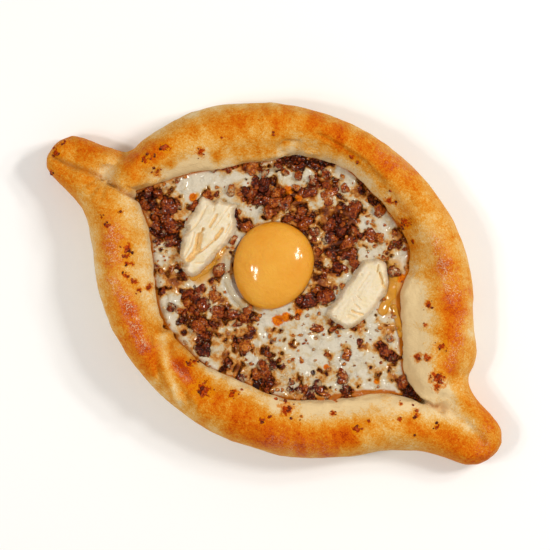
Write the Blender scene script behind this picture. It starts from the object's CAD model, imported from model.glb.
"""The looks of a boat-shaped khachapuri: baked dough, meat in melted cheese, an egg yolk and two knobs of butter."""

import itertools
import math

import bpy
import numpy as np
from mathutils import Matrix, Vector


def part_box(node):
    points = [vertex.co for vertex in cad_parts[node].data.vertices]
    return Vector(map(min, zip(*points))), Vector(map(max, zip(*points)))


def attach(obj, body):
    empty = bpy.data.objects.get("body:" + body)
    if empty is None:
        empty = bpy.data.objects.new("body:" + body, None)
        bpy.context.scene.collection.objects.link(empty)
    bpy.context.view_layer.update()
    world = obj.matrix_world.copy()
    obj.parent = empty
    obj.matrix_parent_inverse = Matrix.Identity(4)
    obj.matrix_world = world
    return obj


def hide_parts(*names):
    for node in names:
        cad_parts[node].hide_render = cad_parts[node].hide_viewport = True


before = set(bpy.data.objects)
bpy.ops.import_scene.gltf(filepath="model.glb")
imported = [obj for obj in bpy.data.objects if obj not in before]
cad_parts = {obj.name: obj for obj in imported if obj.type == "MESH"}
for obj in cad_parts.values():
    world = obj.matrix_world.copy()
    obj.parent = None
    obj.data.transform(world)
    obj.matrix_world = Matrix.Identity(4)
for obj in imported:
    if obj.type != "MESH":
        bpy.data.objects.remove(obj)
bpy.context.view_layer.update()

MM = 0.001
bpy.ops.object.select_all(action="DESELECT")

# ---- The table, the light and the camera -----------------------------------------------------------------
# The bread lies on a white table in a bright white room, with three soft boxes on each of two sides.
# The camera looks straight down, turned so that the boat points to the lower right.
ROOM_LIGHT = 0.47
SOFT_BOXES = (  # direction round the boat and height above the table in degrees, width and length in metres, power
    (50, 52, 0.13, 0.15, 3.0),
    (60, 45, 0.08, 0.11, 1.6),
    (46, 42, 0.06, 0.05, 0.9),
    (222, 64, 0.07, 0.11, 1.5),
    (216, 57, 0.05, 0.07, 0.9),
    (236, 60, 0.05, 0.1, 0.8),
)
SOFT_BOX_DISTANCE = 1.0
CAMERA_HEIGHT = 1.2
CAMERA_AIM = (-6.1 * MM, -0.7 * MM, 13 * MM)
CAMERA_TURN = 32
FRAME_WIDTH = 0.264
SENSOR_WIDTH = 36

bpy.ops.mesh.primitive_plane_add(size=3)
table = bpy.context.object
table.name = "table"
table_finish = bpy.data.materials.new("white_table")
table_finish.use_nodes = True
table_finish.node_tree.nodes["Principled BSDF"].inputs["Base Color"].default_value = (0.93, 0.925, 0.915, 1)
table_finish.node_tree.nodes["Principled BSDF"].inputs["Roughness"].default_value = 0.8
table.data.materials.append(table_finish)

room = bpy.data.worlds.new("room")
room.use_nodes = True
room.node_tree.nodes["Background"].inputs["Color"].default_value = (1, 0.985, 0.96, 1)
room.node_tree.nodes["Background"].inputs["Strength"].default_value = ROOM_LIGHT
bpy.context.scene.world = room

for turn, height, width, length, power in SOFT_BOXES:
    turn, height = math.radians(turn), math.radians(height)
    place = [math.cos(height) * math.cos(turn), math.cos(height) * math.sin(turn), math.sin(height)]
    place = [SOFT_BOX_DISTANCE * share for share in place]
    bpy.ops.object.light_add(type="AREA", location=place, rotation=(0, math.pi / 2 - height, turn))
    soft_box = bpy.context.object
    soft_box.data.energy = power
    soft_box.data.shape = "RECTANGLE"
    soft_box.data.size, soft_box.data.size_y = width, length
    soft_box.data.color = (1, 0.97, 0.93)

place = (CAMERA_AIM[0], CAMERA_AIM[1], CAMERA_AIM[2] + CAMERA_HEIGHT)
bpy.ops.object.camera_add(location=place, rotation=(0, 0, math.radians(CAMERA_TURN)))
camera = bpy.context.object
camera.data.sensor_width = SENSOR_WIDTH
camera.data.lens = SENSOR_WIDTH * CAMERA_HEIGHT / FRAME_WIDTH
camera.data.clip_start = 0.01
bpy.context.scene.camera = camera
bpy.context.scene.view_settings.view_transform = "Standard"
bpy.context.scene.view_settings.look = "None"

# ---- The bread -------------------------------------------------------------------------------------------
# An oval of leavened dough, about 7 mm thick under the filling. Its long edges are rolled in to make the rim
# and pinched together at both tips, and it is baked until the tops of the rolls are a deep golden brown.


class Value:
    """A number, colour or direction that varies over a surface, so that maths on it reads as it is written."""

    def __init__(self, finish, socket):
        self.finish = finish
        self.socket = socket

    def maths(self, operation, *values):
        return self.finish.node("ShaderNodeMath", {"operation": operation}, dict(enumerate(values)))

    def __add__(self, other):
        return self.maths("ADD", self, other)

    def __sub__(self, other):
        return self.maths("SUBTRACT", self, other)

    def __rsub__(self, other):
        return self.maths("SUBTRACT", other, self)

    def __mul__(self, other):
        return self.maths("MULTIPLY", self, other)

    def between(self, start, end):
        """0 below start, 1 above end and a soft step from one to the other."""
        inputs = {"Value": self, "From Min": start, "From Max": end}
        return self.finish.node("ShaderNodeMapRange", {"interpolation_type": "SMOOTHSTEP"}, inputs)

    __radd__ = __add__
    __rmul__ = __mul__


class Finish:
    """A material with one Principled shader, whose fixed settings are given by name."""

    def __init__(self, name, **settings):
        self.material = bpy.data.materials.new(name)
        self.material.use_nodes = True
        self.tree = self.material.node_tree
        self.shader = self.tree.nodes["Principled BSDF"]
        for setting, value in settings.items():
            self.shader.inputs[setting.replace("_", " ")].default_value = value

    def node(self, kind, settings=None, inputs=None, output=0):
        """A new shader node, with its settings made and its inputs set or linked."""
        made = self.tree.nodes.new(kind)
        for setting, value in (settings or {}).items():
            setattr(made, setting, value)
        for key, value in (inputs or {}).items():
            if isinstance(value, Value):
                self.tree.links.new(value.socket, made.inputs[key])
            else:
                made.inputs[key].default_value = value
        return Value(self, made.outputs[output])

    def attribute(self, name):
        """The amount that paint stored under this name."""
        return self.node("ShaderNodeAttribute", {"attribute_name": name}, output="Fac")

    def place(self, shift):
        """Where a point of the piece is, moved by a shift so that no two patterns are alike."""
        place = self.node("ShaderNodeTexCoord", output="Object")
        return self.node("ShaderNodeVectorMath", {"operation": "ADD"}, {0: place, 1: (shift, shift, shift)})

    def noise(self, size, detail, roughness, shift=0.0):
        """Cloudy unevenness round 0.5, with clouds about this many millimetres across."""
        inputs = {"Vector": self.place(shift), "Scale": 1 / (size * MM), "Detail": detail, "Roughness": roughness}
        return self.node("ShaderNodeTexNoise", None, inputs)

    def grains(self, size):
        """How far a place is from the middle of its grain, 0 to about 0.6, with grains about this size."""
        return self.node("ShaderNodeTexVoronoi", None, {"Vector": self.place(0.0), "Scale": 1 / (size * MM)})

    def mix(self, first, second, share):
        """first where share is 0 and second where it is 1; both are colours."""
        return self.node("ShaderNodeMix", {"data_type": "RGBA"}, {0: share, 6: first, 7: second}, output=2)

    def ramp(self, value, *stops):
        """Colours along a value from 0 to 1; stops are (place, colour)."""
        made = self.node("ShaderNodeValToRGB", None, {"Fac": value})
        elements = made.socket.node.color_ramp.elements
        elements[0].position, elements[0].color = stops[0]
        elements[1].position, elements[1].color = stops[-1]
        for position, colour in stops[1:-1]:
            elements.new(position).color = colour
        return made

    def bump(self, height, depth):
        """Tilts the surface as if height stood this many millimetres proud of it."""
        return self.node("ShaderNodeBump", None, {"Height": height, "Distance": depth * MM, "Strength": 1.0})

    def wear(self, piece, **links):
        """Links these values to the shader's inputs and puts the finish on the piece."""
        for setting, value in links.items():
            self.tree.links.new(value.socket, self.shader.inputs[setting.replace("_", " ")])
        piece.data.materials.clear()
        piece.data.materials.append(self.material)


def rgb(red, green, blue):
    """A colour as a screen shows it, from 0 to 255, as the light that it stands for."""
    return (*[(part / 255 / 12.92 if part < 10.3 else ((part / 255 + 0.055) / 1.055) ** 2.4)
              for part in (red, green, blue)], 1)


def rumple(points, size, seed):
    """Smooth random unevenness between -1 and 1 at each point, with bumps of about this size."""
    lattice = np.random.default_rng(seed).uniform(-1, 1, (32, 32, 32))
    cell = np.floor(points / size).astype(int)
    share = points / size - cell
    share = share * share * (3 - 2 * share)
    total = np.zeros(len(points))
    for corner in itertools.product((0, 1), repeat=3):
        weight = np.prod(np.where(corner, share, 1 - share), axis=1)
        total += weight * lattice[tuple(((cell + corner) % 32).T)]
    return total


def seen_from_above(x, y):
    """These places as points at one height, for rumple."""
    return np.stack([x, y, np.zeros(len(x))], axis=1)


def distance_to(line, x, y):
    """How far each point is from a line through these places, seen from above."""
    nearest = np.full(x.shape, 1e9)
    places = list(line) if len(line) > 1 else [line[0], line[0]]
    for (ax, ay), (bx, by) in zip(places[:-1], places[1:]):
        length = max((bx - ax) ** 2 + (by - ay) ** 2, 1e-9)
        along = np.clip(((x - ax) * (bx - ax) + (y - ay) * (by - ay)) / length, 0, 1)
        nearest = np.minimum(nearest, np.hypot(x - ax - along * (bx - ax), y - ay - along * (by - ay)))
    return nearest


def nearness(line, half_width, x, y, power=2):
    """1 on a line, falling off to nothing a little past its half width."""
    return np.exp(-(distance_to(line, x, y) / half_width) ** power)


def heaped(zones, x, y, power=4):
    """The most that any of the zones gives at each point."""
    amount = np.zeros(x.shape)
    for line, half_width, weight in zones:
        amount = np.maximum(amount, weight * nearness(line, half_width, x, y, power))
    return amount


def spotted(spots, spread, x, y):
    """How deep inside a spot each point is: 1 in its middle, 0 at its edge and less outside."""
    amount = np.full(x.shape, -2.0)
    for spot_x, spot_y, radius in spots:
        amount = np.maximum(amount, 1 - np.hypot(x - spot_x, y - spot_y) / radius / spread)
    return amount


def fade(value, start, end):
    """0 before start, 1 after end and a soft step from one to the other."""
    share = np.clip((value - start) / (end - start), 0, 1)
    return share * share * (3 - 2 * share)


def points_of(piece):
    """The places of a piece's vertices in millimetres, one row each."""
    places = np.empty(len(piece.data.vertices) * 3)
    piece.data.vertices.foreach_get("co", places)
    return places.reshape(-1, 3) / MM


def normals_of(piece):
    directions = np.empty(len(piece.data.vertices) * 3)
    piece.data.vertex_normals.foreach_get("vector", directions)
    return directions.reshape(-1, 3)


def move_points(piece, places):
    piece.data.vertices.foreach_set("co", (places * MM).ravel())
    piece.data.update()


def paint(piece, name, amount):
    """Stores an amount at each vertex under this name, for the piece's finish to read."""
    layer = piece.data.attributes.new(name, "FLOAT", "POINT")
    layer.data.foreach_set("value", np.asarray(amount, np.float32))


def only(piece):
    bpy.ops.object.select_all(action="DESELECT")
    piece.select_set(True)
    bpy.context.view_layer.objects.active = piece


def refine(piece, kind, **settings):
    """Adds a modifier with these settings and applies it."""
    only(piece)
    modifier = piece.modifiers.new(kind.lower(), kind)
    for setting, value in settings.items():
        setattr(modifier, setting, value)
    bpy.ops.object.modifier_apply(modifier=modifier.name)


def copy_of(node, name):
    """A copy of a solid of the frame, with its loose triangles merged."""
    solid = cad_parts[node]
    piece = bpy.data.objects.new(name, solid.data.copy())
    bpy.context.scene.collection.objects.link(piece)
    piece.matrix_world = solid.matrix_world
    only(piece)
    bpy.ops.object.transform_apply(location=True, rotation=True, scale=True)
    bpy.ops.object.mode_set(mode="EDIT")
    bpy.ops.mesh.select_all(action="SELECT")
    bpy.ops.mesh.remove_doubles(threshold=0.01 * MM)
    bpy.ops.mesh.tris_convert_to_quads()
    bpy.ops.object.mode_set(mode="OBJECT")
    return piece


def belongs(piece, slot, *nodes):
    """The piece goes with the bread's one body, and stands for these solids."""
    only(piece)
    bpy.ops.object.shade_smooth()
    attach(piece, "root")
    if nodes:
        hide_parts(*nodes)


# Creases pressed or folded into the dough: line, half width and depth in millimetres (a ridge is negative).
CREASES = (
    (((-126, -9), (-118, -8.6), (-110, -6.6), (-101, -4.8)), 1.1, 3.0),
    (((-97, -4.8), (-89, -5.4), (-80, -5.2)), 1.0, 2.8),
    (((-97, 14), (-98.2, 8), (-99.5, 1)), 2.0, 1.8),
    (((-99.5, -3),), 2.4, 1.8),
    (((-99.5, -6), (-101, -16)), 1.3, 0.7),
    (((-98, -6), (-95, -15)), 1.1, 0.6),
    (((-102.5, -7), (-106, -14)), 1.2, 0.5),
    (((-124, 3.5), (-118, -2)), 2.0, 0.8),
    (((77, -13.2), (84, -14.6), (90, -13.8), (96, -11.8)), 1.1, 3.2),
    (((96, -12), (104, -13), (111, -13.4), (120, -17)), 2.2, 1.7),
    (((92, -7), (92, -13)), 1.0, 0.5),
    (((93, 3), (94.5, -6), (95, -10)), 4.0, 1.2),
    (((104, -19), (98, -22)), 3.0, 0.9),
    (((-37, 51), (-35.5, 55.5), (-30, 58.5)), 0.9, 1.0),
    (((-24, 66.5), (-10, 67.3), (2, 67), (14, 63)), 1.0, 0.9),
    (((-24, 69.5), (-10, 70.3), (2, 70), (15, 67)), 2.6, -0.8),
    (((-38, -50), (-31, -60), (-20, -69), (-6, -75)), 1.5, 1.8),
    (((-35, -53), (-27, -64), (-14, -74)), 2.2, -1.9),
    (((-38, -56), (-31, -67), (-22, -74)), 1.5, 1.9),
    (((-52, -36), (-40, -51), (-26, -57)), 1.2, 0.6),
    (((74, -26), (84, -24), (92, -24)), 1.6, 0.7),
    (((20, 60), (33, 55), (44, 46)), 1.6, 0.6),
)
# How brown the dough is from its outer edge, 0, over the top of the roll to the lip of the opening, 1.
BROWNING = (
    (0.0, 0.34), (0.05, 0.40), (0.12, 0.48), (0.22, 0.54), (0.38, 0.57), (0.52, 0.53), (0.68, 0.44),
    (0.84, 0.30), (0.93, 0.12), (1.0, 0.02),
)
# The same at the lower right, where the roll slopes gently down to the filling.
SLOPE_BROWNING = (
    (0.0, 0.36), (0.05, 0.42), (0.12, 0.52), (0.22, 0.60), (0.38, 0.60), (0.52, 0.47), (0.68, 0.3),
    (0.84, 0.22), (1.0, 0.34),
)
# Places that are browner or paler than that: line, half width, amount.
TOASTED = (
    (((-76, 28), (-60, 53), (-42, 64), (-28, 69)), 7, 0.08),
    (((-30, 71), (-5, 73), (20, 74)), 6, 0.2),
    (((60, 42), (72, 33), (86, 12), (90, 2)), 7, 0.3),
    (((-92, -14), (-80, -30), (-66, -47)), 6, 0.22),
    (((-60, -48), (-46, -59), (-36, -64)), 6, 0.45),
    (((-20, -63), (0, -64), (25, -62), (45, -58), (62, -47)), 8, 0.4),
    (((20, -73), (45, -66), (60, -57)), 6, 0.28),
    (((-95, 5), (-91, 14), (-86, 20)), 4.5, 0.3),
    (((-122, 0), (-110, 3), (-104, 2)), 4, 0.25),
    (((-121, -12), (-108, -13)), 4, 0.15),
    (((103, -21), (114, -24), (124, -22)), 7, 0.28),
    (((107, -8), (117, -7)), 4, 0.22),
    (((70, -22), (82, -22)), 5, 0.25),
    (((-37, 53), (-33, 58)), 1.6, 0.3),
    (((-24, 66), (-8, 67), (3, 66), (14, 62)), 1.8, 0.3),
    (((-60, 30), (-52, 38), (-40, 48)), 4, 0.12),
    (((-40, -50), (-30, -57), (-18, -61)), 4, 0.5),
    (((60, 42), (66, 34)), 5, 0.1),
    (((-87, 0), (-75, 7)), 5, 0.35),
    (((20, 56), (33, 53), (42, 47)), 4.5, 0.5),
    (((-75, 17),), 2.6, 1.0),
    (((-59, 32),), 3.2, 1.0),
    (((86, -27), (93, -28)), 4, 0.6),
)
PALE = (
    (((-72, 16), (-63, 27), (-55, 33)), 6, 0.32),
    (((-80, 8), (-72, 17)), 4, 0.25),
    (((-90, 26), (-84, 40), (-70, 56), (-50, 70)), 4, 0.2),
    (((-100, -1),), 6, 0.5),
    (((-103, -17), (-92, -28), (-78, -46), (-64, -60)), 5, 0.2),
    (((-80, -10), (-72, -22), (-60, -34), (-48, -46)), 6, 0.12),
    (((-35, -54), (-26, -65), (-12, -76)), 2.4, 0.5),
    (((-30, -76), (-5, -79)), 3, 0.1),
    (((52, 26), (60, 14), (70, 0), (80, -9)), 9, 0.42),
    (((70, 4), (84, -9)), 7, 0.25),
    (((90, -2), (98, -9), (110, -12.5)), 5, 0.42),
    (((86, 28), (93, 12), (98, 2)), 5, 0.24),
    (((28, -54), (45, -44), (62, -29), (76, -19)), 6, 0.42),
    (((82, -19), (100, -15)), 3, 0.25),
    (((72, -42), (84, -33), (92, -32)), 6, 0.28),
    (((-8, 62), (14, 60), (30, 54)), 2.5, 0.15),
    (((30, 68), (50, 60), (66, 50)), 6, 0.14),
    (((-10, -56), (8, -54), (25, -53)), 3, 0.18),
)
# Bran and flour that caught on the rolls and dried to a whitish bloom: line, half width, amount.
BLOOM = (
    (((-82, -23), (-75, -34)), 4.0, 0.9),
    (((-69, -44), (-60, -48), (-52, -53)), 3.5, 1.0),
    (((-49, -56), (-41, -62)), 3.0, 0.9),
    (((48, 54), (60, 45), (71, 36)), 4.0, 0.9),
    (((80, 30), (85, 18), (86, 8)), 3.0, 0.6),
    (((36, -68), (48, -66), (58, -60)), 5.0, 0.35),
    (((8, 76), (22, 76)), 4.0, 0.4),
    (((-34, -58), (-26, -62), (-16, -64)), 2.0, 0.5),
    (((118, -11), (122, -18)), 3.0, 0.5),
    (((76, 40), (82, 34)), 4.0, 0.35),
    (((24, 60), (30, 57)), 3.0, 0.4),
)
# Flecks of meat and fat that fell on the dough and burnt: place and how far they spread.
FLECKS = (
    (33, 53, 3.0), (21, 58, 1.6), (24, 58.6, 1.4), (78.5, 12, 2.4), (85, -1, 3.6), (87, -5, 1.8), (72, 2, 2.0),
    (76, 4.5, 1.6), (65, -42, 2.0), (-6, -65, 4.2), (-17, -56, 1.8), (-18.5, -58, 1.4), (32, -52, 3.0),
    (7, -59, 2.2), (-67, 30, 1.8), (-72, -27, 2.4), (-70, -30, 1.4),
    (-66, -38, 1.8), (-61, -39, 1.8), (-57, -41, 1.2), (-53.5, -37.5, 1.6), (-84, -14, 1.5), (-90, -21, 1.0),
    (-86, -23, 1.4), (85.5, -21.5, 1.8), (77, -21, 0.8), (80, -27, 1.0), (63, 26, 1.6), (67, 17, 1.0),
    (-42, 55, 1.3), (-82, 23, 2.2), (-84, 17, 1.0), (-87, 13, 2.0), (25, -62, 1.4), (-125, -6.5, 1.9),
    (-123, -16, 1.5), (-125, 0, 1.0), (-79, 11, 1.4), (-66, -32, 1.2), (97, -21, 1.3), (68, -36, 1.0),
    (40, -51, 0.8), (-1, 65.5, 1.2), (-5, 66, 1.2), (-68, -33, 1.0), (90, -30, 0.8), (27, -59, 1.0),
    (50, -36, 0.8), (52, -41.5, 1.2), (41, 47.5, 1.0), (-62, 41, 0.7),
)
BREAD_VOXEL = 1.05 * MM
LIP_HEIGHT = 16.15  # where the edge of the filling meets the dough, in millimetres
AROUND_KNOB = 4
LEAST_LIP_REACH = 48
DEEP_CREASE = 2.4
BLISTERS = 170
LIP_BEAD, LIP_BEAD_WIDTH = 0.9, 0.09
TIP_START, TIP_END = 88, 102
ROLL_REACH = 62
STREAK_WIDTH = 3.4

bread = copy_of("bread", "baked_bread")
places, normals = points_of(bread), normals_of(bread)
outward = (normals[:, :2] * places[:, :2]).sum(axis=1) > 0
on_edge = places[outward & (np.abs(normals[:, 2]) < 0.3)]
refine(bread, "REMESH", mode="VOXEL", voxel_size=BREAD_VOXEL)
refine(bread, "SMOOTH", factor=0.5, iterations=6)

# The edges of the dough and of the opening, as distances from the middle by direction.
filling_points = points_of(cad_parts["filling"])
on_lip = filling_points[np.abs(filling_points[:, 2] - LIP_HEIGHT) < 0.02]
for knob_name in ("butter_left", "butter_right"):
    low, high = np.array(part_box(knob_name))[:, :2] / MM
    under_knob = ((on_lip[:, :2] > low - AROUND_KNOB) & (on_lip[:, :2] < high + AROUND_KNOB)).all(axis=1)
    on_lip = on_lip[~under_knob]
on_lip = on_lip[np.hypot(on_lip[:, 0], on_lip[:, 1]) > LEAST_LIP_REACH]


def reach(ring):
    """How far out the ring of points lies in any direction from the middle."""
    directions, which = np.unique(np.round(np.arctan2(ring[:, 1], ring[:, 0]), 2), return_inverse=True)
    far = np.zeros(len(directions))
    np.maximum.at(far, which.ravel(), np.hypot(*ring[:, :2].T))
    return lambda direction: np.interp(direction, directions, far, period=2 * math.pi)


lip_reach, edge_reach = reach(on_lip), reach(on_edge)
places, normals = points_of(bread), normals_of(bread)
x, y, z = places.T
direction, from_middle = np.arctan2(y, x), np.hypot(x, y)
# 0 at the outer edge of the dough and 1 at the lip of the opening.
share = (edge_reach(direction) - from_middle) / (edge_reach(direction) - lip_reach(direction))
share = np.where(z < 12, np.minimum(share, 0.0), share)
swell = 0.55 * rumple(places, 15, 1) + 0.3 * rumple(places, 6.5, 2) + 0.1 * rumple(places, 2.6, 3)
for line, half_width, depth in CREASES:
    wobble = 0.35 * half_width * rumple(places, 4, 4)
    swell -= depth * np.exp(-((distance_to(line, x, y) + wobble) / half_width) ** 2) * fade(z, 10, 16)
blisters = np.random.default_rng(7)
for _ in range(BLISTERS):
    turn, depth = blisters.uniform(-math.pi, math.pi), blisters.uniform(0.05, 0.6)
    radius, rise = blisters.uniform(1.2, 3.6), blisters.uniform(0.12, 0.45)
    far = edge_reach(turn) + (lip_reach(turn) - edge_reach(turn)) * depth
    away = np.hypot(x - far * math.cos(turn), y - far * math.sin(turn)) / radius
    swell += rise * np.exp(-away**4) * fade(z, 12, 18)
# 1 where the roll ends in a steep lip and 0 where it slopes gently down to the filling.
steep = 1 - fade(x, 15, 50) * fade(y, -60, -20)
lip_bead = 1.0 + 1.3 * steep + 0.6 * rumple(places, 8, 5) + 0.6 * rumple(places, 3.5, 6)
swell += lip_bead * np.exp(-((share - LIP_BEAD) / LIP_BEAD_WIDTH) ** 2) * fade(z, 15.5, 18)
swell *= fade(z, 0.3, 5)
places += normals * swell[:, None]
move_points(bread, places)

uneven = share + 0.09 * rumple(places, 9, 8) + 0.05 * rumple(places, 4, 9)
brown = steep * np.interp(uneven, *zip(*BROWNING)) + (1 - steep) * np.interp(uneven, *zip(*SLOPE_BROWNING))
# Faint streaks run across the rolls, where the dough was stretched as it was rolled in.
across = seen_from_above(direction * ROLL_REACH / STREAK_WIDTH, share * 2.2)
streaks = 0.13 * rumple(across, 1, 10) + 0.08 * rumple(across * (2.3, 1.6, 1), 1, 24)
brown += streaks * fade(z, 14, 25)
brown += (0.6 - brown) * fade(np.abs(x), TIP_START, TIP_END)
brown -= 0.2 * (1 - fade(z, 3, 12))
for line, half_width, amount in TOASTED:
    brown += 0.6 * amount * nearness(line, half_width, x, y)
for line, half_width, amount in PALE:
    brown -= amount * nearness(line, half_width, x, y)
for line, half_width, depth in CREASES:
    brown -= 0.06 * depth * nearness(line, 1.6 * half_width, x, y)
paint(bread, "brown", brown)
crevices = [(line, 0.8, 1.0) for line, _, depth in CREASES if depth > DEEP_CREASE]
paint(bread, "crevice", heaped(crevices, x, y, power=2) * fade(z, 8, 12))
paint(bread, "bloom", heaped(BLOOM, x, y, power=2))
paint(bread, "scorch", spotted(FLECKS, 1.3, x, y))

crust = Finish("baked_crust", Specular_IOR_Level=0.04, Coat_Roughness=0.3, Coat_IOR=1.4)
clouds = crust.noise(9, 4, 0.6) - 0.5
mottle = crust.noise(2.4, 4, 0.65, 0.3) - 0.5
pores = crust.noise(1.2, 3, 0.75, 0.6)
specks = crust.noise(0.6, 2, 0.7, 1.1)
browned = crust.attribute("brown") + crust.attribute("bloom") * 0.04 + clouds * 0.62 + mottle * 0.5
browned = browned + (pores - 0.5) * 0.75 + (specks - 0.5) * 0.8 - 0.04
dough_colour = crust.ramp(
    browned,
    (0.0, rgb(228, 200, 150)), (0.2, rgb(224, 176, 100)), (0.38, rgb(219, 154, 60)), (0.55, rgb(213, 130, 24)),
    (0.72, rgb(206, 104, 2)), (0.88, rgb(196, 78, 0)), (1.0, rgb(166, 54, 0)),
)
dusting = (crust.noise(0.6, 2, 0.8, 6.1) + mottle * 0.7).between(0.54, 0.62) * crust.attribute("bloom")
dusted = crust.mix(dough_colour, rgb(230, 202, 156), dusting * 0.7)
burn = crust.attribute("scorch") + (crust.noise(2.6, 4, 0.7, 2.2) - 0.5) * 3.4
creased = crust.mix(dusted, rgb(168, 96, 20), crust.attribute("crevice") * 0.75)
halo = crust.mix(creased, rgb(214, 128, 0), burn.between(-0.15, 0.15) * 0.8)
charred = crust.ramp(pores + mottle * 0.6, (0.3, rgb(112, 28, 2)), (0.5, rgb(166, 52, 2)), (0.7, rgb(204, 84, 6)))
burnt = crust.mix(halo, charred, burn.between(0.35, 0.6))
shine = crust.noise(5, 2, 0.5, 3.1)
relief = crust.bump(pores * 0.8 + mottle * 0.7 + specks * 0.5, 0.5)
crust.wear(
    bread,
    Base_Color=burnt,
    Roughness=0.6 + (shine - 0.5) * 0.25,
    Coat_Weight=crust.attribute("bloom") * specks.between(0.4, 0.7),
    Normal=relief,
)
belongs(bread, "crust", "bread")

# ---- The filling: melted cheese --------------------------------------------------------------------------
# Grated cheese melted over and between the crumbled meat. It has run together into a pale, wet, uneven
# sheet that is thick in some places and stained brown by the meat's fat where it is thin.
MEAT_ZONES = (  # line, half width, how thickly the meat lies
    (((-78, -2), (-74, 4)), 6, 1.0),
    (((-66, -8), (-58, -12)), 7, 0.9),
    (((-62, 2), (-56, -4)), 5, 0.5),
    (((-56, 31), (-48, 34)), 5, 0.9),
    (((-41, 39), (-38, 43)), 4, 0.5),
    (((-34, 30), (-20, 32), (-6, 30)), 7, 1.0),
    (((-32, 46), (-26, 54), (-18, 56)), 5, 0.9),
    (((-10, 48), (2, 47)), 4, 0.8),
    (((-3, 42), (6, 33), (14, 26)), 8, 1.0),
    (((14, 18), (16, 6)), 7, 0.95),
    (((-38, -28), (-30, -38), (-22, -42)), 8, 1.0),
    (((-24, -26), (-12, -25), (-5, -22)), 5, 0.75),
    (((-4, -34), (2, -44), (-1, -51)), 5, 0.85),
    (((11, -35), (12, -37)), 3.5, 0.9),
    (((14, -45), (17, -48)), 5, 0.8),
    (((31, -44), (34, -40)), 4.5, 0.8),
    (((37, -31), (38, -35)), 3, 0.2),
    (((48, -30), (52, -29)), 3, 0.5),
    (((48, 6), (54, 8)), 3, 0.4),
    (((58, -3), (63, -6)), 4, 0.5),
    (((72, -13), (82, -13.5)), 4, 1.2),
    (((24, -8), (32, -9)), 4, 0.6),
    (((-30, 12), (-31, -4)), 3, 0.45),
    (((22, 44), (40, 38)), 6, 0.35),
    (((-48, -26), (-44, -32)), 4, 0.5),
    (((23, 44), (36, 41)), 4, 0.6),
    (((0, 24), (6, 26)), 4, 0.5),
    (((20, 37), (31, 44)), 5, 0.95),
    (((-44, 26),), 4.5, 0.8),
    (((-3, 51),), 4, 1.0),
    (((-46, 36),), 5, 0.7),
)
CHEESE_ZONES = (  # line, half width, how thickly the cheese lies
    (((-68, 14), (-60, 20), (-44, 26)), 7, 0.9),
    (((-58, -24), (-50, -34), (-44, -40)), 6, 0.9),
    (((-16, -42), (-10, -52)), 5, 0.8),
    (((4, -42),), 5, 0.6),
    (((18, -16), (26, -26), (34, -14)), 9, 0.9),
    (((40, -14), (52, -20), (66, -16)), 8, 1.0),
    (((12, 48), (30, 46), (42, 40)), 6, 0.5),
    (((-28, 44), (-20, 42), (-8, 40)), 4, 0.8),
    (((64, -10), (60, -18)), 5, 0.6),
    (((-45, 42), (-38, 36)), 2.5, 0.5),
    (((15, -28), (22, -36)), 5, 0.6),
    (((-27, -10), (-20, -19), (-10, -22), (4, -20)), 3.5, 0.9),
    (((44, 0), (52, -8), (60, -12)), 5, 0.8),
    (((-32, 20), (-40, 28), (-56, 24)), 4, 0.5),
    (((-56, -27), (-46, -36)), 5, 0.9),
    (((4, -29),), 5, 1.1),
    (((37, -37),), 4.5, 0.9),
    (((-50, -27),), 5, 1.1),
    (((55, 3),), 3.5, 0.6),
    (((-48, -33), (-38, -28)), 5, 1.0),
    (((22, 10),), 4, 0.7),
)
SPILT_BUTTER = (  # where the knobs have melted into golden pools
    (((-34.5, -4), (-34, -12), (-36, -21)), 3.6, 1.0),
    (((40, 33), (45, 28), (47.5, 20), (48, 14)), 3.8, 1.0),
    (((-58, 12), (-59, 9)), 1.4, 1.0),
    (((-12, -19), (-4, -18)), 2.0, 1.0),
)
TOASTED_CHEESE = (  # place and radius
    (6.5, -18.5, 3.0), (9, -15, 2.6), (13, -10, 2.0), (-59, 10, 2.2), (46, 30, 2.4), (-22, 37, 2.4),
    (-16, 36.5, 1.8), (38, -25, 1.6), (62, -18, 1.4),
)
STRANDS = (  # strings of cheese that stand proud: line, half width and rise
    (((6, 22), (9, 26), (13, 30), (15, 34)), 1.1, 1.0),
    (((9.5, 23), (13, 25), (17, 31)), 0.8, 0.9),
    (((-24, 24), (-20, 28), (-15, 31)), 1.0, 0.9),
    (((-21, 22), (-16.5, 27.5)), 0.8, 0.8),
    (((-2, 36), (2, 41), (10, 43)), 1.2, 0.8),
    (((-28, 38), (-20, 36), (-12, 38)), 1.2, 0.8),
    (((-16, -34), (-8, -38), (-6, -46)), 1.1, 0.8),
    (((4, -30), (8, -40), (6, -48)), 1.0, 0.9),
    (((24, -30), (28, -38), (22, -46)), 1.1, 0.8),
    (((-52, -22), (-44, -30), (-42, -38)), 1.2, 0.7),
    (((-35, 45), (-28, 40), (-25, 32)), 1.0, 0.5),
    (((-41, 37), (-34, 33)), 0.9, 0.4),
    (((-14, 39), (-4, 39), (6, 42)), 1.4, 0.6),
    (((14, 8), (20, 9), (22, 15)), 1.6, 0.6),
    (((-20, 28), (-15, 35), (-9, 41)), 1.0, 0.5),
    (((-19, -25), (-13, -27), (-8, -32)), 0.8, 0.5),
    (((-32, -31), (-24, -28)), 0.8, 0.4),
    (((-4, -39), (2, -46), (3, -52)), 0.9, 0.5),
    (((0, -20), (7, -26)), 0.8, 0.4),
    (((7, 42), (15, 41), (23, 44)), 1.2, 0.5),
    (((-19, -39), (-10, -37), (-4, -30)), 0.8, 0.5),
    (((-19, 47), (-8, 51)), 0.9, 0.4),
)
WET = (  # runny egg white and clear fat that lie on top: line and half width
    (((-27, -6), (-24, -13), (-17, -18), (-9, -20)), 2.6),
    (((50, 16), (55, 12), (60, 7)), 1.8),
    (((30, -49), (45, -40), (58, -27), (72, -18)), 1.0),
)
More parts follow.
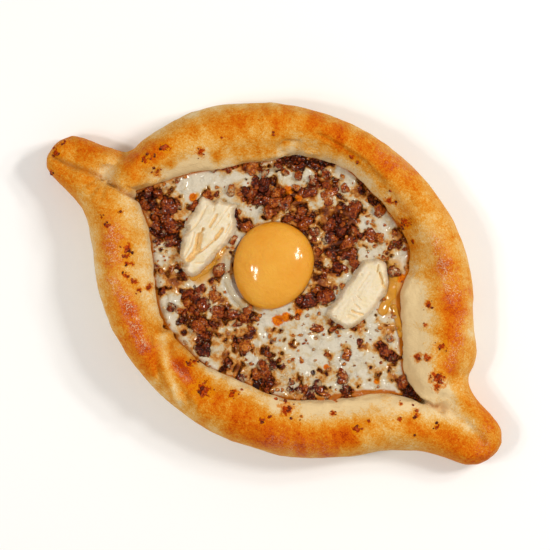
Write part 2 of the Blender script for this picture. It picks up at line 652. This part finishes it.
FAT_LINE = ((28, -50), (42, -42), (56, -28), (72, -18))
CHEESE_LEVEL = 17.2
CHEESE_GRID = 0.45
CHEESE_SKIRT = 8
AROUND_SHEET = 3
UNDER_LIP = 1.6
YOLK_BED = 14
YOLK_BED_RISE = 5.1
YOLK_RADIUS = 20
YOLK = np.array(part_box("yolk")) / MM
YOLK_MIDDLE = YOLK.mean(axis=0)
YOLK_HALF = (YOLK[1] - YOLK[0]) / 2


def soaking(x, y):
    """How much brown fat has soaked through from below: 0 in thick cheese, 1 where there is little of it."""
    meat, fresh, butter_pool = (heaped(zones, x, y) for zones in (MEAT_ZONES, CHEESE_ZONES, SPILT_BUTTER))
    return 0.345 + 0.4 * rumple(seen_from_above(x, y), 6, 11) + 0.34 * meat - 0.3 * fresh - 0.7 * butter_pool


def meatiness(x, y):
    """0 where there is only cheese, 1 where there is only meat."""
    flat = seen_from_above(x, y)
    patchy = 0.42 * rumple(flat, 2.8, 12) + 0.26 * rumple(flat, 1.4, 17)
    return np.clip(soaking(x, y) + patchy, 0, 1)


def from_yolk(x, y):
    """1 on the widest line of the yolk, less inside it."""
    return np.hypot((x - YOLK_MIDDLE[0]) / YOLK_HALF[0], (y - YOLK_MIDDLE[1]) / YOLK_HALF[1])


def cheese_cover(x, y):
    """1 where the cheese lies over everything, 0 where it has run down between the lumps of meat."""
    cover = 1 - fade(meatiness(x, y), 0.46, 0.62)
    for line, half_width, _ in STRANDS:
        cover = np.maximum(cover, 1 - fade(distance_to(line, x, y), half_width * 0.8, half_width * 1.6))
    return cover


def cheese_height(x, y):
    """The top of the cheese and the fat between the lumps of meat, in millimetres."""
    flat = seen_from_above(x, y)
    cover = cheese_cover(x, y)
    height = CHEESE_LEVEL + 0.7 * rumple(flat, 17, 13) + 0.4 * rumple(flat, 6, 14)
    height += cover * (0.7 + 0.7 * rumple(flat, 3.8, 15) + 0.4 * rumple(flat, 2.2, 16))
    height -= (1 - cover) * (0.5 + 0.8 * np.abs(rumple(flat, 2.0, 18)))
    for line, half_width, rise in STRANDS:
        height += rise * np.exp(-((distance_to(line, x, y) + 0.3 * rumple(flat, 2.5, 19)) / half_width) ** 2)
    near = from_yolk(x, y)
    raised = height + 1.8 * np.exp(-(((near - 1) * YOLK_RADIUS) / 3) ** 2)
    return np.where(near > 1, raised, YOLK_BED + YOLK_BED_RISE * near**4)


def sheet(name, low, high, cell, height, inside, drop, taper):
    """A grid of small cells raised to a height, cut to the outline of what is inside, and closed below.

    Its edge drops this many millimetres, drawn in by the taper, before the bottom closes it.
    """
    columns, rows = (np.arange(low[axis] - AROUND_SHEET, high[axis] + AROUND_SHEET, cell) for axis in (0, 1))
    bpy.ops.mesh.primitive_grid_add(x_subdivisions=len(columns), y_subdivisions=len(rows), size=2)
    piece = bpy.context.object
    piece.name = name
    places = points_of(piece) * MM
    places[:, 0] = (columns[0] + columns[-1]) / 2 + places[:, 0] * (columns[-1] - columns[0]) / 2
    places[:, 1] = (rows[0] + rows[-1]) / 2 + places[:, 1] * (rows[-1] - rows[0]) / 2
    places[:, 2] = height(places[:, 0], places[:, 1])
    move_points(piece, places)
    piece.data.vertices.foreach_set("select", ~inside(places[:, 0], places[:, 1]))
    piece.data.edges.foreach_set("select", np.zeros(len(piece.data.edges), bool))
    piece.data.polygons.foreach_set("select", np.zeros(len(piece.data.polygons), bool))
    only(piece)
    bpy.ops.object.mode_set(mode="EDIT")
    bpy.ops.mesh.delete(type="VERT")
    bpy.ops.mesh.select_mode(type="EDGE")
    bpy.ops.mesh.select_all(action="SELECT")
    bpy.ops.mesh.region_to_loop()
    bpy.ops.mesh.extrude_region_move(TRANSFORM_OT_translate={"value": (0, 0, -drop * MM)})
    bpy.ops.transform.resize(value=(taper, taper, 0))
    bpy.ops.mesh.edge_face_add()
    bpy.ops.mesh.select_all(action="SELECT")
    bpy.ops.mesh.normals_make_consistent(inside=False)
    bpy.ops.object.mode_set(mode="OBJECT")
    return piece


def past_lip(x, y):
    """How far outside the lip of the opening a place is, in millimetres; below 0 inside it."""
    return np.hypot(x, y) - lip_reach(np.arctan2(y, x))


def in_opening(x, y):
    """Whether a place is in the opening or just under the lip round it."""
    return past_lip(x, y) < UNDER_LIP


grid_low, grid_high = (np.array(corner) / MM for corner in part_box("filling"))
cheese = sheet("melted_cheese", grid_low, grid_high, CHEESE_GRID, cheese_height, in_opening, CHEESE_SKIRT, 0.93)
places = points_of(cheese)
x, y, z = places.T
flat = seen_from_above(x, y)
paint(cheese, "bare", 1 - cheese_cover(x, y))
paint(cheese, "stain", meatiness(x, y))
paint(cheese, "soaked", soaking(x, y) + 0.25 * rumple(flat, 4, 22))
wet = np.zeros(len(x))
for line, half_width in WET:
    ragged = distance_to(line, x, y) + 0.8 * rumple(flat, 4, 20)
    wet = np.maximum(wet, 1 - fade(ragged, half_width * 0.7, half_width))
paint(cheese, "wet", wet)
paint(cheese, "golden", heaped(SPILT_BUTTER, x, y))
paint(cheese, "toasted", spotted(TOASTED_CHEESE, 1.0, x, y))
fatty = np.exp(-((distance_to(FAT_LINE, x, y) + 0.5 * rumple(flat, 3, 21)) / 1.1) ** 2)
paint(cheese, "rim", np.maximum(fatty, np.exp(-np.maximum(-past_lip(x, y) - 0.3, 0) / 0.8)))

melt = Finish("melted_cheese", Specular_IOR_Level=0.08, Coat_Roughness=0.05, Coat_IOR=1.42)
blotch = melt.noise(3.2, 4, 0.62) - 0.5
thread = melt.noise(1.1, 3, 0.6, 0.7) - 0.5
crumbly = (melt.grains(1.3) - 0.3) * melt.attribute("bare")
stain = melt.attribute("stain") * 0.5 + melt.attribute("soaked") * 0.62 - melt.attribute("bare") * 0.02
stain = stain + blotch * 0.95 + thread * 0.5 + crumbly * 0.6 - 0.025
cheese_colour = melt.ramp(
    stain,
    (0.0, rgb(207, 197, 176)), (0.18, rgb(199, 184, 154)), (0.32, rgb(198, 162, 108)), (0.46, rgb(190, 126, 46)),
    (0.6, rgb(156, 84, 16)), (0.78, rgb(110, 46, 5)), (1.0, rgb(60, 18, 1)),
)
crumb_specks = (melt.noise(0.8, 2, 0.6, 3.3) + blotch * 0.25).between(0.6, 0.68)
near_meat = (melt.attribute("soaked") * 1.3).between(0.2, 0.75)
specked = melt.mix(cheese_colour, rgb(150, 76, 10), crumb_specks * near_meat * 0.8)
oiled = melt.mix(specked, rgb(200, 138, 10), melt.attribute("golden") * 0.9)
edged = melt.mix(oiled, rgb(172, 92, 0), (melt.attribute("rim") * 1.3).between(0.0, 1.0))
baked = (melt.attribute("toasted") + thread * 0.8).between(-0.1, 0.25)
baked_colour = melt.ramp(thread + 0.5, (0.35, rgb(178, 72, 0)), (0.6, rgb(220, 120, 0)))
dry = melt.attribute("bare") * 0.4 + baked * 0.8 + melt.attribute("rim") * 0.7
melt.wear(
    cheese,
    Base_Color=melt.mix(edged, baked_colour, baked),
    Roughness=0.36 + blotch * 0.3,
    Coat_Weight=0.7 + blotch * 0.8 + melt.attribute("wet") - dry,
    Normal=melt.bump(blotch * 1.0 + thread * 0.5 + melt.noise(0.6, 2, 0.6, 1.9) * 0.25 - crumbly * 2.5, 0.9),
)
belongs(cheese, "meat_and_cheese", "filling")

# ---- The filling: crumbled meat --------------------------------------------------------------------------
# Minced beef fried until it breaks into dark, bumpy crumbles from the size of a pea down to that of a grain
# of sand. They lie half sunk in the cheese, wet with fat.
BIG_LUMPS = (  # place and radius of the lumps that stand out
    (-33, 31, 3.4), (-26, 33, 3.2), (-28, 27, 3.0), (-20, 31, 3.3), (-12, 32, 3.0), (-7, 27.5, 3.6),
    (-15, 25.8, 2.9), (-24, 23, 3.0), (-36, 38, 2.8), (-32, 44, 2.6), (-22, 45, 2.8), (-15, 47.5, 2.6),
    (3, 33, 3.2), (-1, 27, 2.8), (8, 28, 3.0), (12, 22, 3.0), (18, 25, 2.6), (6, 38, 2.6), (-3, 42, 2.4),
    (-11, 53, 2.6), (-78, -1, 2.6), (-74, 3, 2.4), (-66, -6, 2.6), (-62, -12, 2.8), (-57, -14, 2.6),
    (-37, -30, 2.8), (-30, -34, 3.0), (-24, -38, 3.0), (-40, -40, 2.8), (-33, -43, 2.8), (-21, -44, 2.8),
    (-13, -27, 2.8), (-9, -30, 2.4), (-8, -21.5, 2.6), (-20, -33, 2.6), (0, -40, 2.4), (11, -35, 2.2),
    (33, -41, 2.2), (62, -5, 2.6), (-52, 30, 2.8), (-58, 27, 2.4), (16, -38, 2.2), (24, 22, 2.2),
)


def ball_shape(subdivisions):
    """The vertices and triangles of a ball of radius 1."""
    bpy.ops.mesh.primitive_ico_sphere_add(subdivisions=subdivisions, radius=1)
    ball = bpy.context.object
    corners = np.empty(len(ball.data.polygons) * 3, int)
    ball.data.polygons.foreach_get("vertices", corners)
    shape = points_of(ball) * MM, corners.reshape(-1, 3)
    bpy.data.objects.remove(ball)
    return shape


def joined(name, shapes):
    """One piece made of many (vertices, triangles, amount) shapes, painted with the amounts as its tone."""
    counts = np.cumsum([0] + [len(points) for points, _, _ in shapes])
    corners = np.vstack([triangles + start for (_, triangles, _), start in zip(shapes, counts)])
    places = np.vstack([points for points, _, _ in shapes])
    mesh = bpy.data.meshes.new(name)
    mesh.vertices.add(len(places))
    mesh.vertices.foreach_set("co", (places * MM).ravel())
    mesh.loops.add(corners.size)
    mesh.loops.foreach_set("vertex_index", corners.ravel().astype(np.int32))
    mesh.polygons.add(len(corners))
    mesh.polygons.foreach_set("loop_start", np.arange(0, corners.size, 3, dtype=np.int32))
    mesh.update(calc_edges=True)
    mesh.validate()
    piece = bpy.data.objects.new(name, mesh)
    bpy.context.scene.collection.objects.link(piece)
    paint(piece, "tone", np.concatenate([np.full(len(points), tone) for points, _, tone in shapes]))
    return piece


GRAIN_EDGE = 0.76  # the cosine of the angle at which one grain of a lump ends and a cleft begins


def crumble(draw, ball, middle, radius, paler=0.0):
    """A lump of mince: a ball pushed out of round, covered in grains with dark clefts between them."""
    corners, triangles = ball
    grains = draw.normal(size=(int(8 + 7 * radius), 3))
    grains /= np.linalg.norm(grains, axis=1)[:, None]
    cleft = 1 - np.sqrt(np.clip(((corners @ grains.T).max(axis=1) - GRAIN_EDGE) / (1 - GRAIN_EDGE), 0, 1))
    place = draw.uniform(0, 30, 3)
    out_of_round = 0.55 * rumple(corners + place, 0.8, 21) + 0.14 * rumple(corners * radius + place, 0.6, 22)
    turn, _ = np.linalg.qr(draw.normal(size=(3, 3)))
    points = corners * (1.05 - 0.34 * cleft + out_of_round)[:, None] * draw.uniform(0.65, 1.2, 3)
    points = points @ (turn * np.sign(np.linalg.det(turn))).T
    tone = paler + draw.uniform(0.0, 0.85) - 0.7 * cleft + 0.3 * points[:, 2]
    return middle + radius * points * (1, 1, 0.7), triangles, tone


draw = np.random.default_rng(31)
fine_ball, plain_ball, tiny_ball = ball_shape(4), ball_shape(3), ball_shape(2)
lumps, crumbs, grains = [], [], []
taken = np.empty((0, 3))


def clear_of(x, y, radius, closeness):
    """Whether a lump here would lie inside the opening, off the yolk and not on top of another lump."""
    if math.hypot(x, y) + 0.2 * radius > lip_reach(math.atan2(y, x)):
        return False
    if from_yolk(np.array([x]), np.array([y]))[0] < 1 + 0.5 * radius / YOLK_RADIUS:
        return False
    return (np.hypot(taken[:, 0] - x, taken[:, 1] - y) > closeness * (radius + taken[:, 2])).all()


for lx, ly, radius in BIG_LUMPS:
    level = cheese_height(np.array([float(lx)]), np.array([float(ly)]))[0]
    lumps.append(crumble(draw, fine_ball, (lx, ly, level + 0.3 * radius), 0.9 * radius))
    taken = np.vstack([taken, (lx, ly, radius)])
# From the largest lumps to grains: where they go, their shape, sizes, tries, how thickly and how closely they lie.
for heap, ball, smallest, largest, tries, keen, closeness in (
    (lumps, fine_ball, 2.4, 3.9, 800, 0.9, 0.45),
    (crumbs, plain_ball, 1.2, 2.2, 2500, 0.8, 0.5),
    (grains, tiny_ball, 0.7, 1.2, 7000, 0.8, 0.6),
    (grains, tiny_ball, 0.35, 0.7, 7000, 0.8, 0.7),
):
    spots = draw.uniform(grid_low[:2], grid_high[:2], (tries, 2))
    uncovered = 1 - cheese_cover(*spots.T)
    levels = cheese_height(*spots.T)
    sparse, pale = (0.06, 0.9) if smallest < 1 else (0.02, 0.35)
    for (lx, ly), amount, level in zip(spots, uncovered, levels):
        radius = draw.uniform(smallest, largest)
        if draw.uniform() < keen * (sparse + amount) and clear_of(lx, ly, radius, closeness):
            middle = (lx, ly, level + draw.uniform(-0.1, 0.4) * radius)
            heap.append(crumble(draw, ball, middle, radius, pale * (1 - amount)))
            taken = np.vstack([taken, (lx, ly, radius)])

mince = Finish("fried_mince", Specular_IOR_Level=0.05, Coat_Roughness=0.07, Coat_IOR=1.4)
fibres = mince.noise(0.9, 3, 0.65) - 0.5
patches = mince.noise(3.5, 2, 0.5, 1.3) - 0.5
crumbly = mince.grains(1.15)
fried = mince.attribute("tone") * 0.6 + 0.42 + patches * 0.6 + fibres * 0.8 - crumbly * 0.6
mince_colour = mince.ramp(
    fried,
    (0.0, rgb(44, 8, 0)), (0.25, rgb(86, 23, 1)), (0.5, rgb(134, 48, 4)), (0.74, rgb(172, 80, 12)),
    (1.0, rgb(206, 122, 40)),
)
smear = mince.noise(3.0, 3, 0.6, 4.4) + mince.noise(0.8, 2, 0.6, 5.5) * 0.3 + mince.attribute("cheesy") * 0.2
smeared = mince.mix(mince_colour, rgb(192, 162, 118), smear.between(0.8, 0.97) * 0.8)
for name, heap in (("mince_lumps", lumps), ("mince_crumbs", crumbs), ("mince_grains", grains)):
    piece = joined(name, heap)
    places = points_of(piece)
    paint(piece, "cheesy", 1 - meatiness(places[:, 0], places[:, 1]))
    mince.wear(
        piece,
        Base_Color=smeared,
        Roughness=0.45 + fibres * 0.3,
        Coat_Weight=0.7 + patches * 1.4,
        Normal=mince.bump(fibres * 0.9 + patches * 0.3 - crumbly * 1.4, 0.8),
    )
    belongs(piece, "meat_and_cheese")

# ---- Burnt flecks on the dough ----------------------------------------------------------------------------
# Bits of minced meat and fat that fell on the dough before baking. Each has shrunk, charred and stuck fast to
# the crust, with smaller bits close round it.
OVER_BREAD = 60 * MM
flecks = []
for fx, fy, radius in FLECKS:
    stretch = draw.uniform(0.3, 0.9, 2)
    for _ in range(int(1 + 2.2 * radius)):
        lx, ly = (fx, fy) + draw.normal(size=2) * radius * stretch
        hit, place, _, _ = bread.ray_cast((lx * MM, ly * MM, OVER_BREAD), (0, 0, -1))
        if hit:
            size = draw.uniform(0.3, 1.1) * min(1, 0.4 + radius / 4)
            flecks.append(crumble(draw, tiny_ball, (lx, ly, place[2] / MM + 0.1), size))
piece = joined("burnt_flecks", flecks)
char = Finish("burnt_meat", Specular_IOR_Level=0.15, Roughness=0.5)
char.wear(piece, Base_Color=char.ramp(
    char.attribute("tone") * 0.6 + char.noise(0.9, 3, 0.6) * 0.5,
    (0.0, rgb(46, 14, 6)), (0.35, rgb(104, 34, 10)), (0.7, rgb(180, 72, 16)),
))
belongs(piece, "meat_and_cheese")

# ---- The egg yolk ----------------------------------------------------------------------------------------
# A raw yolk slipped onto the hot filling just before serving. Its skin is whole, tight and very shiny, and it
# has spread a little into the bed that its weight presses in the cheese.
yolk = copy_of("yolk", "egg_yolk")
refine(yolk, "SUBSURF", levels=2, render_levels=2)
yolk_finish = Finish("egg_yolk", Subsurface_Weight=0.35, Subsurface_Scale=5 * MM, Subsurface_Radius=(1, 0.5, 0.12),
                     Coat_Weight=1.0, Coat_Roughness=0.1, Coat_IOR=1.35, Roughness=0.4, Specular_IOR_Level=0.1)
places = points_of(yolk)
paint(yolk, "low", 1 - fade(places[:, 2], YOLK_MIDDLE[2] - 2, YOLK_MIDDLE[2] + 5))
swirl = yolk_finish.noise(14, 3, 0.5) - 0.5
yolk_finish.wear(
    yolk,
    Base_Color=yolk_finish.ramp(
        swirl * 1.0 + 0.6 - yolk_finish.attribute("low") * 0.6,
        (0.05, rgb(196, 112, 14)), (0.35, rgb(222, 148, 34)), (0.8, rgb(228, 166, 56)),
    ),
    Normal=yolk_finish.bump(yolk_finish.noise(3.4, 4, 0.7, 1.0), 0.9),
)
belongs(yolk, "egg_yolk", "yolk")

# ---- The knobs of butter ---------------------------------------------------------------------------------
# Two knobs scooped cold from a block. The left one is torn, with a rift down to its middle and a flake along
# its right side. The right one is smoother, with a few cracks. Both have begun to melt underneath.
butter = Finish("butter", Subsurface_Weight=0.25, Subsurface_Scale=3 * MM, Subsurface_Radius=(1, 0.8, 0.5),
                Specular_IOR_Level=0.3, Coat_Roughness=0.25)
curd = butter.noise(5, 3, 0.55) - 0.5
drag = butter.noise(1.2, 3, 0.6, 0.9) - 0.5
butter_colour = butter.ramp(
    curd * 0.9 + drag * 0.3 + 0.55,
    (0.1, rgb(212, 176, 112)), (0.35, rgb(221, 202, 160)), (0.6, rgb(227, 212, 182)), (1.0, rgb(234, 222, 200)),
)
# For each knob: its outline; the rifts and cracks torn into it, as line, half width and depth in millimetres;
# and the edge of the flake that stands proud at its right, from one end to the other.
KNOBS = {
    "butter_left": (
        ((-55.5, 13.9), (-50, 13.5), (-49.2, 14.5), (-48.7, 16.3), (-47.5, 17), (-45.5, 16.5), (-43, 17.3),
         (-40, 18.2), (-38.8, 18), (-38.3, 15.5), (-36.8, 12.8), (-35, 11.6), (-33.4, 9), (-32.6, 5), (-32.9, 0),
         (-34, -6), (-35.3, -13), (-37, -20), (-38.5, -22.4), (-41, -23.4), (-43.5, -23), (-46.3, -21.4),
         (-45.4, -19.5), (-48.5, -18.3), (-50.5, -16), (-52.5, -12), (-53.7, -8), (-53.7, -4), (-54.8, -4.8),
         (-56, -3), (-56.1, 2), (-55.3, 5), (-56.2, 8), (-56.6, 11)),
        ((((-46.7, -0.2), (-46.4, -4)), 0.7, 2.2), (((-46.2, -4), (-44.9, -8), (-44, -11)), 1.8, 3.4),
         (((-43.3, -10.3), (-44.4, -14), (-44.9, -16.5)), 1.4, 3.2), (((-44.7, 9), (-44.5, 2.4)), 0.7, 1.5),
         (((-39.8, 12), (-39.7, 11)), 0.7, 1.2), (((-38.9, 4.6), (-39.3, -1.6)), 0.8, 2.0),
         (((-37.4, 8), (-37, 4)), 0.5, 1.0), (((-39.4, -2), (-40.5, -6), (-42, -10)), 0.5, 1.4),
         (((-41, -15.7), (-39.5, -15), (-38, -13.8)), 0.4, 0.9), (((-51, 10), (-50.5, 0), (-52, -7)), 0.6, 0.6),
         (((-49, 14), (-47, 10)), 0.5, 0.8), (((-42, 16.5), (-42.3, 8), (-42.6, 2)), 0.4, 0.6),
         (((-49.4, -4), (-47.6, -10), (-47.4, -16)), 0.6, 0.7), (((-35.6, 8), (-35.4, -2), (-37.2, -12)), 0.5, 0.6)),
        ((-37.5, 9), (-38, 2), (-40, -5), (-41.8, -10.4), (-44.6, -16.4), (-46.5, -21)),
    ),
    "butter_right": (
        ((25.7, 28.3), (28, 29.8), (30, 31), (31, 32), (33.5, 32.5), (35.3, 32.6), (36.2, 32.2), (38, 30),
         (40.5, 27), (42.5, 24.5), (43.2, 22), (43.5, 18), (43.3, 12), (42.5, 6), (41, 1), (38.5, -3), (36, -4.8),
         (32, -5.2), (28, -5), (25.5, -4.2), (23.7, -3.2), (23.4, -1.5), (23.9, 3), (24.4, 8), (24.7, 13),
         (25, 19), (25.2, 24)),
        ((((33, 29.4), (34.3, 26.4)), 0.5, 1.2), (((35.6, 26.5), (38, 24.6), (40, 22.5), (43, 21.6)), 0.7, 1.7),
         (((32.4, 11.6), (34.6, 11)), 0.45, 0.8), (((33.4, 7.6), (36.5, 7)), 0.45, 0.9),
         (((34, 4.2), (36, 4.4), (39.2, 5.5)), 0.6, 1.3), (((28.5, 21.3),), 0.5, 0.7),
         (((31, 9.4), (32, 8.8)), 0.4, 0.5), (((31.5, 24), (31, 14)), 0.4, 0.4),
         (((27.4, -2.6), (28.6, -2.2)), 0.5, 0.7), (((34, 1.5), (37, 2.4)), 1.0, 0.6)),
        ((36.4, 31.5), (40, 25), (40.6, 15), (39.6, 5), (36.5, -4)),
    ),
}
BUTTER_GRID = 0.3
BUTTER_EDGE = 3.2  # how far in from its outline a knob is rounded, in millimetres
BUTTER_FOOT = 0.4


def inside_outline(outline, x, y):
    """Whether each place lies inside a closed outline."""
    inside = np.zeros(x.shape, bool)
    for (ax, ay), (bx, by) in zip(outline, outline[1:] + outline[:1]):
        crosses = (ay > y) != (by > y)
        inside ^= crosses & (x < ax + (y - ay) * (bx - ax) / (by - ay if by != ay else 1))
    return inside


for node, (outline, rifts, flake_edge) in KNOBS.items():
    low, high = np.array(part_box(node)) / MM
    flake_line = list(zip(*flake_edge[::-1]))

    def rift_depth(x, y):
        flat = seen_from_above(x, y)
        depth_here = np.zeros(x.shape)
        for line, half_width, depth in rifts:
            away = np.abs(distance_to(line, x, y) + 0.35 * half_width * rumple(flat, 1.6, 45)) / half_width
            depth_here = np.maximum(depth_here, depth * (1 - fade(away, 0.2, 1.3)))
        return depth_here

    def butter_height(x, y):
        flat = seen_from_above(x, y)
        ragged = 0.35 * rumple(flat, 2.2, 46) + 0.2 * rumple(flat, 0.9, 47)
        inward = np.where(inside_outline(outline, x, y), distance_to(outline + outline[:1], x, y), 0) + ragged
        side = np.clip(inward / BUTTER_EDGE, 0, 1)
        flake_x = np.interp(y, flake_line[1], flake_line[0])
        top = high[2] - 0.9 - 0.11 * np.abs(x - low[0] - 0.62 * (high[0] - low[0])) ** 1.4
        if node == "butter_left":
            top += 0.7 * fade(x - flake_x, -0.2, 0.5) - 0.12 * np.clip(x - flake_x - 1, 0, 9) ** 1.3
        else:
            top -= 0.5 * np.clip(x - flake_x, 0, 9) ** 1.3
        top += 0.3 * rumple(flat, 7, 41) + 0.14 * rumple(flat * (1, 0.35, 1), 1.3, 44) + 0.06 * rumple(flat, 0.7, 48)
        bottom = low[2] + BUTTER_FOOT
        return bottom + (top - bottom) * (1 - (1 - side) ** 2.4) ** 0.6 - rift_depth(x, y) * side

    def on_knob(x, y):
        return inside_outline(outline, x, y)

    knob = sheet(node + "_knob", low, high, BUTTER_GRID, butter_height, on_knob, 0.3, 1)
    places = points_of(knob)
    paint(knob, "depth", np.clip(rift_depth(places[:, 0], places[:, 1]) / 1.6, 0, 1) * fade(places[:, 2], 17, 20))
    butter.wear(
        knob,
        Base_Color=butter.mix(butter_colour, rgb(246, 200, 110), butter.attribute("depth") * 0.6),
        Roughness=0.42 + curd * 0.3,
        Coat_Weight=0.3 + curd * 0.4,
        Normal=butter.bump(drag + curd, 0.4),
    )
    belongs(knob, "butter", node)

crumb_height = cheese_height(np.array([-47.0]), np.array([-24.5]))[0]
crumb = joined("butter_crumb", [
    crumble(draw, plain_ball, (-47.2, -24.0, crumb_height + 0.3), 1.1),
    crumble(draw, plain_ball, (-46.8, -26.0, crumb_height + 0.1), 0.9),
    crumble(draw, tiny_ball, (-48.6, -24.6, crumb_height), 0.6),
])
crumb.data.materials.append(butter.material)
belongs(crumb, "butter")

# ---- Runny egg white and clear fat ------------------------------------------------------------------------
# A thin film of egg white clings to the lower left of the yolk. Clear fat has gathered in a dip of the cheese,
# and both knobs of butter have let a golden puddle run out on their right side.
PUDDLE_GRID = 0.4
PUDDLE_EDGE = 0.25
film = Finish("egg_white", Base_Color=rgb(224, 204, 156), Alpha=0.3, Roughness=0.05, Coat_Weight=1.0,
              Coat_Roughness=0.03)
fat = Finish("melted_fat", Base_Color=rgb(218, 148, 0), Alpha=0.68, Roughness=0.06, Coat_Weight=1.0,
             Coat_Roughness=0.04)
# For each: its finish and slot, then its line, half width and how proud it stands, in millimetres.
PUDDLES = {
    "egg_white": (film, "egg_yolk", ((-30.2, -6), (-27.6, -11.5), (-22.6, -17), (-16, -20.3), (-9, -21.4)), 1.7, 0.9),
    "clear_fat": (fat, "meat_and_cheese", ((50, 16.5), (55, 12), (60, 7)), 1.7, 0.7),
    "clear_butter": (fat, "meat_and_cheese", ((-35.2, -2), (-34.6, -9), (-36, -16), (-38.6, -22)), 2.6, 0.6),
    "clear_butter_right": (fat, "meat_and_cheese", ((39.5, 31.5), (43.5, 27), (46, 20), (46.5, 12)), 2.4, 0.6),
}
for name, (finish, slot, line, half_width, rise) in PUDDLES.items():

    def dome(x, y):
        flat = seen_from_above(x, y)
        away = distance_to(line, x, y) / half_width + 0.25 * rumple(flat, 3, 51)
        return np.clip(1 - away**2, 0, 1) ** 0.5

    def puddle_height(x, y):
        return cheese_height(x, y) - 0.35 + (rise + 0.5) * dome(x, y)

    low, high = np.min(line, axis=0) - half_width, np.max(line, axis=0) + half_width
    puddle = sheet(name, low, high, PUDDLE_GRID, puddle_height, lambda x, y: dome(x, y) > PUDDLE_EDGE, 0.5, 1)
    puddle.data.materials.append(finish.material)
    belongs(puddle, slot)
